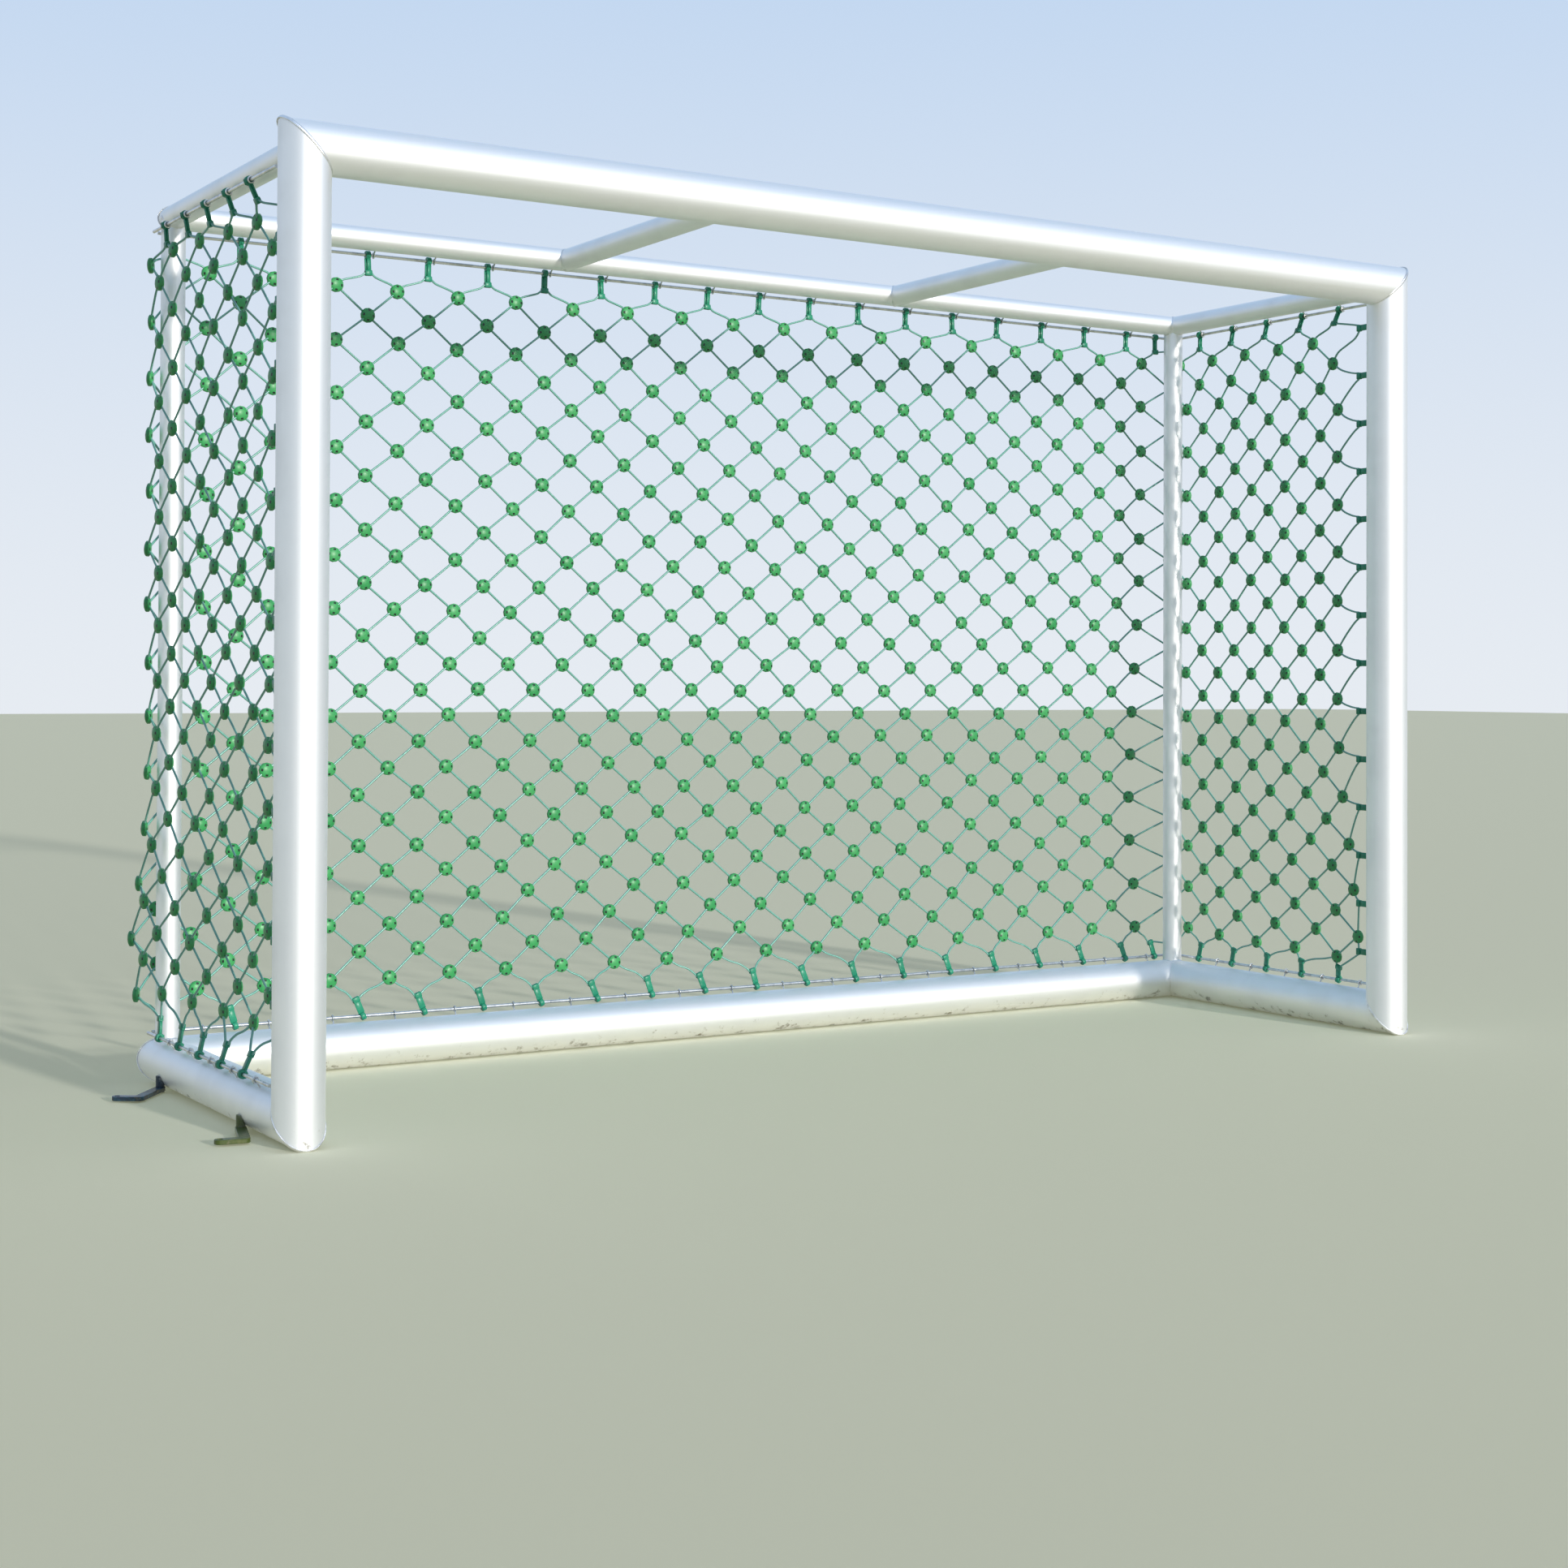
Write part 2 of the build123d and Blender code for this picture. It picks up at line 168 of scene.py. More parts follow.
# Splashes: mud that thins out with height above the ground, broken up into specks.
splash, given, result = new_group(
    "ground_splash",
    (("Vector", "NodeSocketVector", None), ("Height", "NodeSocketFloat", 0.1)),
    (("Mask", "NodeSocketFloat"),),
)
apart = put(splash, "ShaderNodeSeparateXYZ", {0: given["Vector"]})
high = math_of(splash, "DIVIDE", apart.outputs["Z"], given["Height"])
near = ramp_of(splash, high, 0.0, 1.0, 1.0, 0.0)
specks = put(
    splash,
    "ShaderNodeTexNoise",
    {"Vector": given["Vector"], "Scale": 38.0, "Detail": 6.0, "Roughness": 0.7},
)
cut = math_of(splash, "SUBTRACT", 0.74, math_of(splash, "MULTIPLY", near, 0.20))
over = math_of(splash, "SUBTRACT", specks.outputs[0], cut)
speck_mask = math_of(splash, "MULTIPLY", over, 7.0, clamp=True)
splash.links.new(math_of(splash, "MULTIPLY", speck_mask, near), result.inputs["Mask"])


def new_material(name, **sockets):
    """A material with its Principled shader's sockets set; _ in a socket's name is a space."""
    made = bpy.data.materials.new(name)
    made.use_nodes = True
    shader = made.node_tree.nodes["Principled BSDF"]
    for key, value in sockets.items():
        shader.inputs[key.replace("_", " ")].default_value = value
    return made, made.node_tree, shader


def bumped(tree, shader, height, distance, strength=1.0):
    """Feeds a height, in shares of a distance in metres, to a shader's normal."""
    values = {"Height": height, "Distance": distance, "Strength": strength}
    bump = put(tree, "ShaderNodeBump", values)
    tree.links.new(bump.outputs[0], shader.inputs["Normal"])


def skinned(tree, stretch, patch_size):
    """The drawn skin's streaks and patches on a piece."""
    place = put(tree, "ShaderNodeTexCoord").outputs["Object"]
    values = {"Vector": place, "Stretch": stretch, "Patch Size": patch_size}
    return put(tree, "ShaderNodeGroup", values, node_tree=skin).outputs


def muddied(tree, height):
    """The mask of the mud splashes on a piece, up to a height."""
    place = put(tree, "ShaderNodeTexCoord").outputs["Object"]
    values = {"Vector": place, "Height": height}
    return put(tree, "ShaderNodeGroup", values, node_tree=splash).outputs["Mask"]


tube_materials = {}
for axis, stretch in (
    ("x", (drawn_along, drawn, drawn)),
    ("y", (drawn, drawn_along, drawn)),
    ("z", (drawn, drawn, drawn_along)),
):
    made, tree, shader = new_material(f"satin_aluminium_{axis}")
    worn = skinned(tree, stretch, 0.16)
    mud = muddied(tree, tube_mud_height)
    dull = math_of(tree, "MULTIPLY", worn["Patch"], 0.35)
    bright = blend_of(tree, dull, tube_colour, tube_dull_colour)
    colour = blend_of(tree, mud, bright, mud_colour)
    tree.links.new(colour, shader.inputs["Base Color"])
    bare = math_of(tree, "MULTIPLY_ADD", mud, -tube_metal, tube_metal)
    tree.links.new(bare, shader.inputs["Metallic"])
    streaky = math_of(tree, "MULTIPLY_ADD", worn["Streak"], 0.14, tube_roughness)
    rough = math_of(tree, "MULTIPLY_ADD", worn["Patch"], 0.06, streaky)
    muddy = math_of(tree, "MULTIPLY_ADD", mud, 0.4, rough)
    tree.links.new(muddy, shader.inputs["Roughness"])
    bumped(tree, shader, worn["Streak"], 0.00008)
    tube_materials[axis] = made


def finish_with(node, made):
    """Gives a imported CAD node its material."""
    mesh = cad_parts[node].data
    mesh.materials.clear()
    mesh.materials.append(made)


for node in ("crossbar", "rear_ground_tube", "rear_top_bar"):
    finish_with(node, tube_materials["x"])
for side in ("left", "right"):
    for node in ("ground_tube", "top_bar", "roof_brace"):
        finish_with(f"{side}_{node}", tube_materials["y"])
    for node in ("post", "rear_upright"):
        finish_with(f"{side}_{node}", tube_materials["z"])


# Weld beads: a row of overlapping ripples of aluminium along every seam between two tubes,
# laid by hand after the ends were mitred or coped.
bead_step = 0.0034
bead_width = 0.0086
bead_height = 0.0030
bead_overlap = 2.1  # a ripple's length, in steps
bead_colour = (0.80, 0.80, 0.81, 1.0)
bead_dull_colour = (0.62, 0.61, 0.60, 1.0)
bead_material, tree, shader = new_material("weld_metal", Metallic=1.0)
worn = skinned(tree, (900, 900, 900), 0.02)
colour = blend_of(tree, worn["Patch"], bead_colour, bead_dull_colour)
tree.links.new(colour, shader.inputs["Base Color"])
rough = math_of(tree, "MULTIPLY_ADD", worn["Streak"], 0.2, 0.22)
tree.links.new(rough, shader.inputs["Roughness"])


def middle(node):
    """The middle of a CAD node's box."""
    low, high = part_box(node)
    return (low + high) / 2


def half_size(node):
    """Half the size of a CAD node's box, along each axis."""
    low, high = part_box(node)
    return (high - low) / 2


main_radius = half_size("crossbar").y
thin_radius = half_size("rear_top_bar").z
post_x = middle("right_post").x
brace_x = middle("right_roof_brace").x
front_y = middle("crossbar").y
rear_y = middle("rear_ground_tube").y
top_z = middle("crossbar").z
ground_z = middle("rear_ground_tube").z
mitre_points = 96  # round a seam
cope_points = 72


def mitre_seam(corner, first, second, radius):
    """Points round the seam of two tubes that leave a corner, each with its outward way."""
    across = first.cross(second)
    along = (first + second).normalized()
    seam = []
    for number in range(mitre_points):
        turn = math.tau * number / mitre_points
        spot = across * radius * math.cos(turn) + along * radius * math.sqrt(2) * math.sin(turn)
        off_first = (spot - first * spot.dot(first)).normalized()
        off_second = (spot - second * spot.dot(second)).normalized()
        seam.append((corner + spot, (off_first + off_second).normalized()))
    return seam


def cope_seam(corner, way, radius, members, member_radius):
    """Points round the end of a tube that leaves along way from one tube, or from an elbow."""
    side = members[0]
    other = way.cross(side)
    seam = []
    for number in range(cope_points):
        turn = math.tau * number / cope_points
        out = side * math.cos(turn) + other * math.sin(turn)
        spot = out * radius
        member = max(members, key=spot.dot)
        beside = spot - member * spot.dot(member)
        rise = way * math.sqrt(max(0, member_radius**2 - beside.length_squared))
        surface = (beside + rise).normalized()
        seam.append((corner + spot + rise, (out + surface).normalized()))
    return seam


seams = []
for sign in (-1, 1):
    x = sign * post_x
    inward = RIGHT * -sign
    top_front = Vector((x, front_y, top_z))
    top_rear = Vector((x, rear_y, top_z))
    ground_front = Vector((x, front_y, ground_z))
    ground_rear = Vector((x, rear_y, ground_z))
    seams.append(mitre_seam(top_front, inward, -UP, main_radius))
    seams.append(mitre_seam(ground_front, UP, BACK, main_radius))
    seams.append(mitre_seam(ground_rear, inward, -BACK, main_radius))
    seams.append(mitre_seam(top_rear, inward, -BACK, thin_radius))
    seams.append(cope_seam(top_front, BACK, thin_radius, (inward, -UP), main_radius))
    seams.append(cope_seam(ground_rear, UP, thin_radius, (inward, -BACK), main_radius))
    seams.append(cope_seam(top_rear, -UP, thin_radius, (inward, -BACK), thin_radius))
    brace_front = Vector((sign * brace_x, front_y, top_z))
    brace_rear = Vector((sign * brace_x, rear_y, top_z))
    seams.append(cope_seam(brace_front, BACK, thin_radius, (RIGHT,), main_radius))
    seams.append(cope_seam(brace_rear, -BACK, thin_radius, (RIGHT,), thin_radius))


def line_mesh(name, lines, closed=False, vectors=None):
    """A mesh of loose edges, one run for each line, with named vectors kept on its points."""
    spots = []
    edges = []
    for line in lines:
        first = len(spots)
        spots += line
        edges += [(first + n, first + n + 1) for n in range(len(line) - 1)]
        if closed:
            edges.append((len(spots) - 1, first))
    mesh = bpy.data.meshes.new(name)
    mesh.from_pydata(spots, edges, [])
    for label, values in (vectors or {}).items():
        kept = mesh.attributes.new(label, "FLOAT_VECTOR", "POINT")
        kept.data.foreach_set("vector", [part for value in values for part in value])
    return mesh


def new_tree(name, inputs):
    """An empty Geometry Nodes tree with a geometry input and named inputs (name, kind, value)."""
    group = bpy.data.node_groups.new(name, "GeometryNodeTree")
    group.interface.new_socket("Geometry", in_out="INPUT", socket_type="NodeSocketGeometry")
    group.interface.new_socket("Geometry", in_out="OUTPUT", socket_type="NodeSocketGeometry")
    for label, kind, value in inputs:
        socket = group.interface.new_socket(label, in_out="INPUT", socket_type=kind)
        if value is not None:
            socket.default_value = value
    return group, group.nodes.new("NodeGroupInput").outputs, group.nodes.new("NodeGroupOutput")


def named_vector(tree, label):
    """A vector that the mesh's points carry under a name."""
    kind = "GeometryNodeInputNamedAttribute"
    return put(tree, kind, {0: label}, data_type="FLOAT_VECTOR").outputs[0]


def ended(tree, geometry, material, result):
    """Ends a tree: its copies made real, shaded smooth and given their material."""
    real = put(tree, "GeometryNodeRealizeInstances", {0: geometry})
    smooth = put(tree, "GeometryNodeSetShadeSmooth", {0: real.outputs[0]})
    values = {"Geometry": smooth.outputs[0], "Material": material}
    coated = put(tree, "GeometryNodeSetMaterial", values)
    tree.links.new(coated.outputs[0], result.inputs[0])


def grown(name, mesh, tree, values):
    """Runs a tree on a mesh and keeps what it makes as a plain mesh object."""
    piece = bpy.data.objects.new(name, mesh)
    bpy.context.scene.collection.objects.link(piece)
    modifier = piece.modifiers.new(name, "NODES")
    modifier.node_group = tree
    for item in tree.interface.items_tree:
        if item.in_out == "INPUT" and item.name in values:
            modifier[item.identifier] = values[item.name]
    bpy.context.view_layer.update()
    depsgraph = bpy.context.evaluated_depsgraph_get()
    seen = piece.evaluated_get(depsgraph)
    plain = bpy.data.meshes.new_from_object(
        seen, preserve_all_data_layers=True, depsgraph=depsgraph
    )
    piece.modifiers.remove(modifier)
    piece.data = plain
    plain.name = name
    return piece


bead_tree, given, result = new_tree(
    "weld_bead",
    (
        ("Step", "NodeSocketFloat", 0.003),
        ("Size", "NodeSocketVector", (0.003, 0.003, 0.001)),
        ("Material", "NodeSocketMaterial", None),
    ),
)
run = put(bead_tree, "GeometryNodeMeshToCurve", {0: given["Geometry"]})
even = put(
    bead_tree,
    "GeometryNodeResampleCurve",
    {"Curve": run.outputs[0], "Length": given["Step"]},
    mode="LENGTH",
)
outward = named_vector(bead_tree, "outward")
tangent = put(bead_tree, "GeometryNodeInputTangent")
turned = put(
    bead_tree,
    "FunctionNodeAxesToRotation",
    {0: outward, 1: tangent.outputs[0]},
    primary_axis="Z",
    secondary_axis="X",
)
blob = put(bead_tree, "GeometryNodeMeshUVSphere", {"Segments": 8, "Rings": 5, "Radius": 0.5})
beads = put(
    bead_tree,
    "GeometryNodeInstanceOnPoints",
    {
        "Points": even.outputs[0],
        "Instance": blob.outputs[0],
        "Rotation": turned.outputs[0],
        "Scale": given["Size"],
    },
)
ended(bead_tree, beads.outputs[0], given["Material"], result)
seam_mesh = line_mesh(
    "weld_seams",
    [[spot for spot, _ in seam] for seam in seams],
    closed=True,
    vectors={"outward": [way for seam in seams for _, way in seam]},
)
weld_beads = grown(
    "weld_beads",
    seam_mesh,
    bead_tree,
    {
        "Step": bead_step,
        "Size": (bead_overlap * bead_step, bead_width, bead_height),
        "Material": bead_material,
    },
)
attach(weld_beads, "root")


# Net rods and wire eyelets: bright zinc-plated steel, with the fine lines that drawing leaves
# on rod and wire.
zinc_colour = (0.66, 0.66, 0.65, 1.0)
zinc_dull_colour = (0.46, 0.47, 0.47, 1.0)
steel_material, tree, shader = new_material("zinc_plated_steel", Metallic=1.0)
worn = skinned(tree, (70, 70, 70), 0.03)
colour = blend_of(tree, worn["Patch"], zinc_colour, zinc_dull_colour)
tree.links.new(colour, shader.inputs["Base Color"])
rough = math_of(tree, "MULTIPLY_ADD", worn["Streak"], 0.25, 0.18)
tree.links.new(rough, shader.inputs["Roughness"])
rod_places = ("rear_top", "rear_ground")
for side in ("left", "right"):
    rod_places += (f"{side}_top", f"{side}_ground", f"{side}_post")
for rod in rod_places:
    finish_with(f"{rod}_rod", steel_material)
    finish_with(f"{rod}_eyelets", steel_material)


# Net lattice: half meshes counted from a rear corner. A button stands on every other crossing.
# The whole net has slid to the left round the frame. It bellies out low down at the rear, is
# pushed out low down at the rear corners, and the left panel is drawn inwards at the front.
rear_columns = 39
side_columns = 11
rows = 26
button_radius = 0.0175
hook_length = 0.045
hook_slide = 0.030
uneven = 0.0028  # how far a button stands from its even place, at most
wave_size = 0.003
corner_push = {-1: 0.032, 1: 0.016}  # at the left and the right rear corner
push_height = 0.34
push_spread = 0.30
corner_x = middle("right_top_rod").x
corner_y = middle("rear_top_rod").y
top_rod_z = middle("rear_top_rod").z
ground_rod_z = middle("rear_ground_rod").z
first_row_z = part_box("rear_net_connectors")[1].z - button_radius
last_row_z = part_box("rear_net_connectors")[0].z + button_radius
row_step = (first_row_z - last_row_z) / rows
chance = random.Random(11)


def bell(value, middle_value, width):
    """One at the middle value, and smoothly less on both sides of it."""
    return math.exp(-(((value - middle_value) / width) ** 2))


def eased(value):
    """Zero below 0, one above 1, and smooth between them."""
    value = min(1, max(0, value))
    return value * value * (3 - 2 * value)


def pushed(place):
    """How far the net stands off its flat panel near the foot of a rear corner."""
    move = Vector()
    for sign, size in corner_push.items():
        apart = Vector((place.x - sign * corner_x, place.y - corner_y)).length
        low = bell(place.z, push_height, 0.18)
        move += Vector((sign * 0.88, 0.47, 0)) * (size * low * bell(apart, 0, push_spread))
    return move


def draped(name, across, down):
    """How far a place in a panel has moved; across and down are shares of the panel, 0 to 1."""
    if name == "rear":
        # The belly is low and right of the middle. It stands out and drags its columns left.
        belly = bell(across, 0.66, 0.38) * bell(down, 0.81, 0.37 if down < 0.81 else 0.24)
        slide = -0.028 - 0.022 * across**3 - 0.070 * belly
        return Vector((slide, 0.030 * belly, 0.018 * eased(2 * down - 1) - 0.016))
    if name == "left":
        # The panel stands forward, turned inwards at its front edge. It sags near the top, and
        # is lifted low down beside the rear corner.
        drop = 0.017 * bell(down, 0.3, 0.16) * (1 - 0.4 * across)
        rise = 0.028 * eased((down - 0.45) / 0.33) * (1 - across)
        return Vector((0.065 * across - 0.020, -0.025, rise - drop))
    # The right panel hangs a little low. Its top is pulled to the rear, and its foot forwards.
    slack = max(0, across - 0.3) * eased((down - 0.6) / 0.4)
    slide = 0.012 + 0.035 * bell(down, 0, 0.05) - 0.13 * slack
    drop = 0.018 * (1 - eased((down - 0.8) / 0.2) * (1 - across))
    drop += 0.024 * bell(down, 0.7, 0.28) * (0.3 + 0.7 * across)
    return Vector((0, slide, -drop))


class Panel:
    """One panel of the net, from a rear corner to its far edge."""

    def __init__(self, name, corner, end, columns, parity, first_spots=None):
        run = end - corner
        self.way = run.normalized()
        self.out = Vector((-self.way.y, self.way.x, 0))
        self.step = run.length / columns
        self.spots = {}
        for column in range(columns + 1):
            for row in range(rows + 1):
                if (column + row + parity) % 2:
                    continue
                flat = corner + self.way * (column * self.step)
                flat.z = first_row_z - row * row_step
                self.spots[column, row] = flat
        for (column, row), flat in self.spots.items():
            if column == 0 and first_spots:
                self.spots[column, row] = first_spots[row]
            elif name == "rear" or column < columns:
                along = self.way * chance.uniform(-uneven, uneven)
                phase = 3.1 * flat.x + 2.3 * flat.y + 4.7 * flat.z
                wave = wave_size * math.sin(phase) + wave_size
                inside = min(1, column / 3, (columns - column) / 3)
                moved = draped(name, column / columns, row / rows)
                if name == "rear" and column == 0:
                    moved.xy = (-0.010, -0.022)
                elif name == "rear" and column == columns:
                    moved.xy = (-0.014, 0.004)
                self.spots[column, row] = (
                    flat
                    + along
                    + UP * chance.uniform(-uneven, uneven)
                    + self.out * (wave * inside)
                    + moved
                    + pushed(flat)
                )


def side_end(post_rod, sign):
    """The line of a side panel's front holes, one hook behind the rod at the post."""
    rod = middle(post_rod)
    corner = Vector((sign * corner_x, corner_y, 0))
    rod.z = 0
    return rod + (corner - rod).normalized() * hook_length


left_corner = Vector((-corner_x, corner_y, 0))
right_corner = Vector((corner_x, corner_y, 0))
rear = Panel("rear", left_corner, right_corner, rear_columns, 0)
left_spots = {row: rear.spots[0, row] for row in range(0, rows + 1, 2)}
right_spots = {row: rear.spots[rear_columns, row] for row in range(1, rows + 1, 2)}
left_end = side_end("left_post_rod", -1)
right_end = side_end("right_post_rod", 1)
left = Panel("left", left_corner, left_end, side_columns, 0, left_spots)
right = Panel("right", right_corner, right_end, side_columns, 1, right_spots)
panels = {"rear": rear, "left": left, "right": right}
edge = side_columns - 1


# Net hooks: moulded green plastic, with a ring that snaps round the rod, a back plate with a
# bright rib, and a foot that the edge cord runs through.
hook_foot = 0.018
hook_lead = 0.42 * hook_foot  # cord inside the foot, on each side of its middle
ground_lean = math.radians(20)
side_leans = {"left": 0.2, "right": -1.1}  # as shares of the rear hooks' lean
uneven_lean = 0.07
last_hook_gap = 0.011  # half a hook's ring, and the gap to the right rear upright
last_hook_x = post_x - thin_radius - last_hook_gap
hook_seats = []
loops = {"rear": [], "left": [], "right": []}


def hung(place, along, towards, lean=0.0):
    """Adds a hook to the list, and gives its cord's hole and the way through it."""
    down = (towards - place).normalized()
    tilt = lean + chance.uniform(-uneven_lean, uneven_lean)
    swing = down * math.cos(tilt) - along * math.sin(tilt)
    through = along * math.cos(tilt) + down * math.sin(tilt)
    hook_seats.append((place, through, -swing))
    return place + swing * hook_length, through


def sagging(start, stop, bends):
    """Points from start to stop: each bend is its share of the run and of the fall."""
    made = []
    for share, fall in bends:
        point = start.lerp(stop, share)
        point.z = start.z + (stop.z - start.z) * fall
        made.append(point)
    return made


# How the edge cord falls from a button to a hook: shares of its run and of its fall.
top_bends = ((0.20, 0.36), (0.55, 0.58), (0.84, 0.76))
ground_bends = ((0.34, 0.36), (0.66, 0.56), (0.88, 0.80))
post_bends = ((0.30, 0.52), (0.62, 0.82), (0.85, 0.95))
post_bends_below = ((0.24, 0.30), (0.52, 0.60), (0.80, 0.86))


def loop_through(start, holes, stop, bends, last_bends=None):
    """The edge cord's line from one button, through hook holes, to another button."""
    first = holes[0][0] - holes[0][1] * hook_lead
    last = holes[-1][0] + holes[-1][1] * hook_lead
    line = [start, *sagging(start, first, bends), first, holes[0][0]]
    for hole, through in holes[1:]:
        line.append(hole - through * hook_lead)
        line.append(hole)
    return [*line, last, *reversed(sagging(stop, last, last_bends or bends)), stop]


levels = ((top_rod_z, -1, 0, top_bends, 0.0), (ground_rod_z, 1, rows, ground_bends, ground_lean))
for rod_z, down, row, bends, lean in levels:
    for column in range(1, rear_columns + 1, 2):
        x = min(column * rear.step - corner_x - hook_slide, last_hook_x)
        place = Vector((x, corner_y, rod_z))
        hole = hung(place, RIGHT, place + UP * down, lean)
        start = rear.spots[column - 1, row]
        if column < rear_columns:
            stop = rear.spots[column + 1, row]
            loops["rear"].append(loop_through(start, [hole], stop, bends))
        else:
            bend = Vector((corner_x + 0.005, corner_y, hole[0].z - down * 0.005))
            line = loop_through(start, [hole], bend, bends)[:-4]
            loops["rear"].append([*line, bend, right.spots[1, row]])
    for side, sign in (("left", -1), ("right", 1)):
        panel = panels[side]
        for column in range(1 if side == "left" else 2, side_columns, 2):
            slid = column * panel.step - sign * hook_slide
            flat = Vector((sign * corner_x, corner_y, rod_z)) + panel.way * slid
            place = Vector((sign * corner_x, flat.y, rod_z))
            target = Vector((flat.x, flat.y, rod_z + down * hook_length))
            hole = hung(place, -BACK, target, lean * side_leans[side])
            holes = [hole]
            stop = panel.spots.get((column + 1, row))
            if column == edge:
                holes.append((panel.spots[side_columns, row], UP * down))
                stop = panel.spots[edge, row - down]
            start = panel.spots[column - 1, row]
            loops[side].append(loop_through(start, holes, stop, bends))
for side in ("left", "right"):
    panel = panels[side]
    post_rod = middle(f"{side}_post_rod")
    for (column, row), hole in panel.spots.items():
        if column == side_columns:
            place = Vector((post_rod.x, post_rod.y, hole.z))
            hook_seats.append((place, UP, (place - hole).normalized()))
            if 0 < row < rows:
                start = panel.spots[edge, row - 1]
                stop = panel.spots[edge, row + 1]
                line = loop_through(start, [(hole, -UP)], stop, post_bends, post_bends_below)
                loops[side].append(line)


ring_chamfer = 0.0012
outline_points = 16
boxy_power = 0.4  # 1 makes an oval, and less makes it squarer


def ringed(bm, outer, inner, width, chamfer):
    """Adds a closed bar with a hole along X. outer and inner are (y, z) outlines."""
    count = len(outer)
    centre_y = sum(y for y, _ in inner) / count
    centre_z = sum(z for _, z in inner) / count
    layers = []
    for outline, x, shrink in (
        (inner, -width / 2, 1),
        (outer, -width / 2, 1 - chamfer),
        (outer, -width / 2 + ring_chamfer, 1),
        (outer, width / 2 - ring_chamfer, 1),
        (outer, width / 2, 1 - chamfer),
        (inner, width / 2, 1),
    ):
        layer = []
        for y, z in outline:
            near_y = centre_y + (y - centre_y) * shrink
            near_z = centre_z + (z - centre_z) * shrink
            layer.append(bm.verts.new((x, near_y, near_z)))
        layers.append(layer)
    for first, second in zip(layers, layers[1:] + layers[:1]):
        for n in range(count):
            m = (n + 1) % count
            bm.faces.new((first[n], first[m], second[m], second[n]))


def round_outline(centre_z, radius):
    """A circle of (y, z) points."""
    turns = [math.tau * n / outline_points for n in range(outline_points)]
    return [(radius * math.cos(a), centre_z + radius * math.sin(a)) for a in turns]


def boxy_outline(centre_z, half_y, half_z):
    """A rounded box of (y, z) points."""
    made = []
    for n in range(outline_points):
        turn = math.tau * n / outline_points
        c = math.cos(turn)
        s = math.sin(turn)
        y = math.copysign(abs(c) ** boxy_power, c) * half_y
        made.append((y, centre_z + math.copysign(abs(s) ** boxy_power, s) * half_z))
    return made


def block(bm, low, high, bevel):
    """Adds a closed box with bevelled edges."""
    made = bmesh.ops.create_cube(bm, size=1.0)["verts"]
    low, high = Vector(low), Vector(high)
    for vertex in made:
        share = vertex.co + Vector((0.5, 0.5, 0.5))
        vertex.co = [a + (b - a) * s for a, b, s in zip(low, high, share)]
    edges = list({e for v in made for e in v.link_edges})
    bmesh.ops.bevel(bm, geom=edges, offset=bevel, segments=1, affect="EDGES")


def template(name, bm, made):
    """A piece to be repeated, with its faces turned outwards."""
    bmesh.ops.recalc_face_normals(bm, faces=bm.faces)
    mesh = bpy.data.meshes.new(name)
    bm.to_mesh(mesh)
    bm.free()
    mesh.materials.append(made)
    piece = bpy.data.objects.new(name, mesh)
    bpy.context.scene.collection.objects.link(piece)
    return piece


hook_dark_colour = (0.010, 0.300, 0.160, 1.0)
hook_light_colour = (0.030, 0.430, 0.235, 1.0)
hook_faded_colour = (0.14, 0.55, 0.34, 1.0)
hook_material, tree, shader = new_material(
    "hook_plastic", Roughness=0.42, Coat_Weight=0.25, Coat_Roughness=0.25
)
tone = put(tree, "ShaderNodeAttribute", attribute_name="tone").outputs["Fac"]
place = put(tree, "ShaderNodeTexCoord").outputs["Object"]
flow = put(tree, "ShaderNodeTexNoise", {"Vector": place, "Scale": 160.0, "Detail": 3.0})
colour = blend_of(tree, tone, hook_dark_colour, hook_light_colour)
weathered = ramp_of(tree, flow.outputs[0], 0.5, 0.8, 0.0, 0.25)
faded = blend_of(tree, weathered, colour, hook_faded_colour)
tree.links.new(faded, shader.inputs["Base Color"])
bumped(tree, shader, flow.outputs[0], 0.0002, 0.5)

cord_hole_radius = 0.0030
# The ring, then the back plate, its rib and the ring's lip, and last the foot.
bm = bmesh.new()
ringed(bm, round_outline(0, 0.0105), round_outline(0, 0.0043), 0.0120, 0.10)
block(bm, (-0.0085, 0.0002, -0.041), (0.0085, 0.0032, -0.0080), 0.0009)
block(bm, (-0.0042, -0.0050, -0.039), (0.0042, 0.0010, -0.0080), 0.0013)
block(bm, (-0.0022, -0.0112, -0.0065), (0.0022, -0.0070, 0.0065), 0.0009)
foot_hole = round_outline(-hook_length, cord_hole_radius)
ringed(bm, boxy_outline(-hook_length, 0.0056, 0.0072), foot_hole, hook_foot, 0.14)
hook_template = template("hook", bm, hook_material)

placing_tree, given, result = new_tree(
    "placed_pieces",
    (("Template", "NodeSocketObject", None), ("Material", "NodeSocketMaterial", None)),
)
axis = named_vector(placing_tree, "axis")
mark = named_vector(placing_tree, "mark")
turned = put(
    placing_tree,
    "FunctionNodeAxesToRotation",
    {0: axis, 1: mark},
    primary_axis="Z",
    secondary_axis="X",
)
source = put(placing_tree, "GeometryNodeObjectInfo", {"Object": given["Template"]})
points = put(placing_tree, "GeometryNodeMeshToPoints", {0: given["Geometry"]})
copies = put(
    placing_tree,
    "GeometryNodeInstanceOnPoints",
    {
        "Points": points.outputs[0],
        "Instance": source.outputs["Geometry"],
        "Rotation": turned.outputs[0],
    },
)
ended(placing_tree, copies.outputs[0], given["Material"], result)


